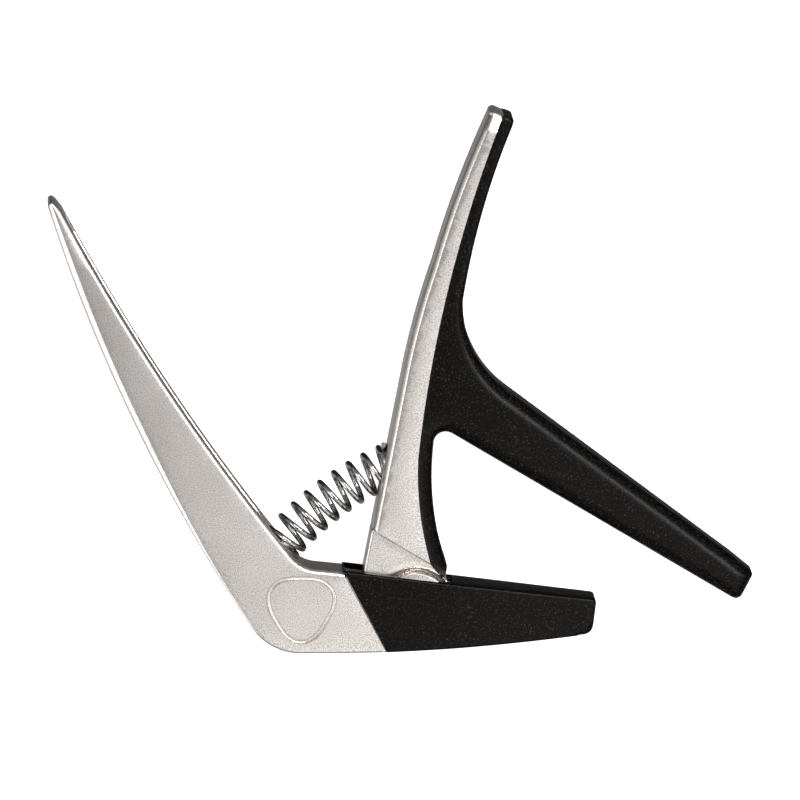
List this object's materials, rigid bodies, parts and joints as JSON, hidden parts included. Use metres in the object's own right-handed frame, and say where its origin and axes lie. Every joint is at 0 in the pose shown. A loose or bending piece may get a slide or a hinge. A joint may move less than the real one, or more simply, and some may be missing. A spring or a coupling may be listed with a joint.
{
  "type": "guitar capo",
  "caption": "Spring-loaded trigger capo: a die-cast handle with a lower jaw, a squeeze lever with a string bar, and rubber sleeves on both jaws.",
  "frame": {"origin": "centre of the bounding box at its bottom, with the capo lying on its side and the jaws closed", "axes": "+X towards the tips of the jaws, +Y towards the tip of the squeeze lever, +Z along the pivot's axis"},
  "size_m": [0.1234, 0.0954, 0.0144],
  "materials": {
    "pearl_silver_casting": "satin pearl lacquer with a fine sparkle",
    "black_rubber": "matte, finely grained",
    "pin_steel": "ground",
    "bush_brass": "plain bearing",
    "washer_nylon": "natural nylon",
    "bright_spring": "polished"
  },
  "bodies": {
    "frame": {"handle_frame": "pearl_silver_casting", "jaw_sleeve": "black_rubber", "pivot_pin": "pin_steel", "front_thrust_washer": "washer_nylon", "rear_thrust_washer": "washer_nylon", "return_spring": "bright_spring"},
    "lever": {"lever_arm": "pearl_silver_casting", "string_bar_sleeve": "black_rubber", "pivot_bush": "bush_brass"}
  },
  "joints": [
    {"name": "lever_pivot", "type": "hinge", "parent": "frame", "child": "lever", "pos_m": [0.00273, -0.03933, 0.0072], "axis": [0, 0, 1], "range_deg": [0, 27], "stiffness_Nm_per_rad": 1.4, "springref_deg": -20.05, "deforming": ["return_spring"]}
  ]
}
